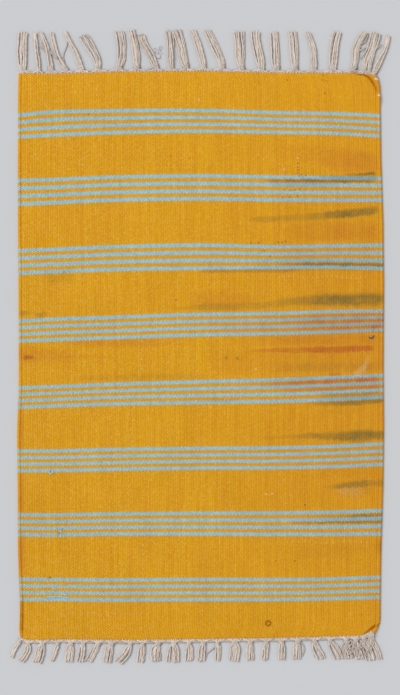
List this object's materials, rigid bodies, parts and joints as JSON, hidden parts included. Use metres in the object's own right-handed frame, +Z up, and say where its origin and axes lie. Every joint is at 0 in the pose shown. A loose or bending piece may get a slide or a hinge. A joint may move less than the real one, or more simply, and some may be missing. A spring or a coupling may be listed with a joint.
{
  "type": "kilim rug",
  "caption": "Flat hand-woven cotton rug with groups of fine cross stripes, corded side edges, and a knotted warp fringe along both ends.",
  "frame": {"origin": "middle of the cloth's underside, on the surface the rug lies on", "axes": "+Z up out of the cloth's face, +Y along the warps towards the longer fringe, +X across the warps to the right with +Y away from the viewer"},
  "size_m": [0.6327, 1.0605, 0.0094],
  "materials": {
    "dyed_cotton": "matt weft-faced plain weave, mustard yellow with pale blue lines",
    "raw_cotton": "matt undyed twisted yarn"
  },
  "bodies": {
    "root": {"cloth": "dyed_cotton", "fringe_long": "raw_cotton", "fringe_short": "raw_cotton"}
  },
  "joints": []
}
